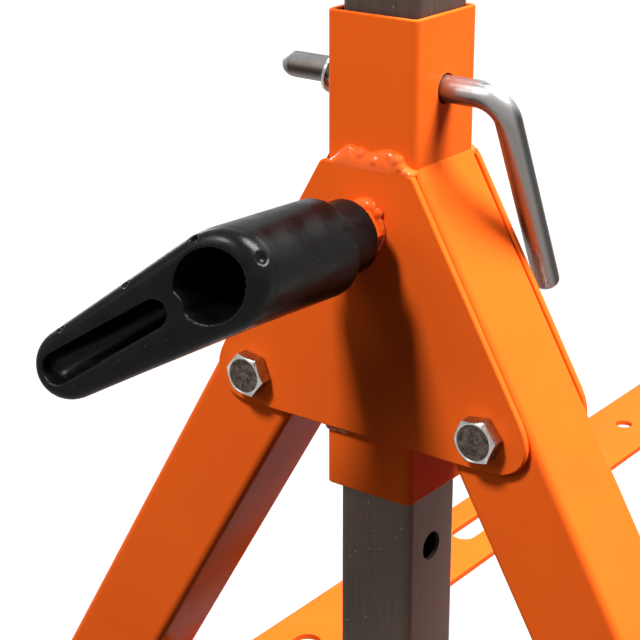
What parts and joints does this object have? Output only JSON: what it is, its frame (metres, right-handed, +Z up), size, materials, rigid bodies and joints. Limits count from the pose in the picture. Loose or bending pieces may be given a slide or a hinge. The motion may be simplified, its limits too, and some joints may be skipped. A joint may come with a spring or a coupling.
{
  "type": "telescopic sawhorse",
  "caption": "Folding steel sawhorse with a height-adjustable beam on pinned telescopic posts, clamp levers and slotted stretchers.",
  "frame": {"origin": "on the floor, midway between the two ends", "axes": "+Z up, Y along the beam with the front end at -Y, X across the legs"},
  "size_m": [0.6092, 1.1712, 0.69],
  "materials": {
    "orange_coat": "glossy orange powder coat",
    "bare_steel": "bare drawn tube, dull",
    "zinc_steel": "zinc plated",
    "black_nylon": "satin moulded",
    "grey_rubber": "matte"
  },
  "bodies": {
    "frame": {"front_sleeve": "orange_coat", "front_outer_plate": "orange_coat", "front_inner_plate": "orange_coat", "front_clamp_nut": "orange_coat", "front_left_pivot_bolt": "zinc_steel", "front_left_pivot_nut": "zinc_steel", "front_right_pivot_bolt": "zinc_steel", "front_right_pivot_nut": "zinc_steel", "rear_sleeve": "orange_coat", "rear_outer_plate": "orange_coat", "rear_inner_plate": "orange_coat", "rear_clamp_nut": "orange_coat", "rear_left_pivot_bolt": "zinc_steel", "rear_left_pivot_nut": "zinc_steel", "rear_right_pivot_bolt": "zinc_steel", "rear_right_pivot_nut": "zinc_steel"},
    "left_legs": {"left_stretcher": "orange_coat", "front_left_leg": "orange_coat", "front_left_foot": "grey_rubber", "front_left_rail_bolt": "zinc_steel", "front_left_rail_nut": "zinc_steel", "rear_left_leg": "orange_coat", "rear_left_foot": "grey_rubber", "rear_left_rail_bolt": "zinc_steel", "rear_left_rail_nut": "zinc_steel"},
    "right_legs": {"right_stretcher": "orange_coat", "front_right_leg": "orange_coat", "front_right_foot": "grey_rubber", "front_right_rail_bolt": "zinc_steel", "front_right_rail_nut": "zinc_steel", "rear_right_leg": "orange_coat", "rear_right_foot": "grey_rubber", "rear_right_rail_bolt": "zinc_steel", "rear_right_rail_nut": "zinc_steel"},
    "upper": {"top_beam": "bare_steel", "front_beam_cap": "black_nylon", "rear_beam_cap": "black_nylon", "front_post": "bare_steel", "rear_post": "bare_steel"},
    "front_pin_bush": {"front_pin_bush": "zinc_steel"},
    "front_pin": {"front_pin": "zinc_steel"},
    "front_lever": {"front_lever": "black_nylon", "front_lever_stud": "zinc_steel"},
    "rear_pin_bush": {"rear_pin_bush": "zinc_steel"},
    "rear_pin": {"rear_pin": "zinc_steel"},
    "rear_lever": {"rear_lever": "black_nylon", "rear_lever_stud": "zinc_steel"}
  },
  "joints": [
    {"name": "left_fold", "type": "hinge", "parent": "frame", "child": "left_legs", "pos_m": [-0.054, 0, 0.3904], "axis": [0, -1, 0], "range_deg": [0, 26]},
    {"name": "right_fold", "type": "hinge", "parent": "frame", "child": "right_legs", "pos_m": [0.054, 0, 0.3904], "axis": [0, 1, 0], "range_deg": [0, 26]},
    {"name": "height_slide", "type": "slide", "parent": "frame", "child": "upper", "axis": [0, 0, 1], "range_m": [-0.0625, 0.3125]},
    {"name": "front_pin_swing", "type": "hinge", "parent": "frame", "child": "front_pin_bush", "pos_m": [0, -0.45, 0.512], "axis": [1, 0, 0], "range_deg": [0, 68]},
    {"name": "front_pin_pull", "type": "slide", "parent": "front_pin_bush", "child": "front_pin", "axis": [1, 0, 0], "range_m": [0, 0.073]},
    {"name": "front_lever_turn", "type": "hinge", "parent": "frame", "child": "front_lever", "pos_m": [0, -0.45, 0.4605], "axis": [0, -1, 0], "range_deg": [0, 270]},
    {"name": "rear_pin_swing", "type": "hinge", "parent": "frame", "child": "rear_pin_bush", "pos_m": [0, 0.45, 0.512], "axis": [-1, 0, 0], "range_deg": [0, 68]},
    {"name": "rear_pin_pull", "type": "slide", "parent": "rear_pin_bush", "child": "rear_pin", "axis": [-1, 0, 0], "range_m": [0, 0.073]},
    {"name": "rear_lever_turn", "type": "hinge", "parent": "frame", "child": "rear_lever", "pos_m": [0, 0.45, 0.4605], "axis": [0, 1, 0], "range_deg": [0, 270]}
  ],
  "couplings": [
    {"joint": "front_pin_swing", "follows": "right_fold", "ratio": 2.6},
    {"joint": "rear_pin_swing", "follows": "left_fold", "ratio": 2.6}
  ]
}
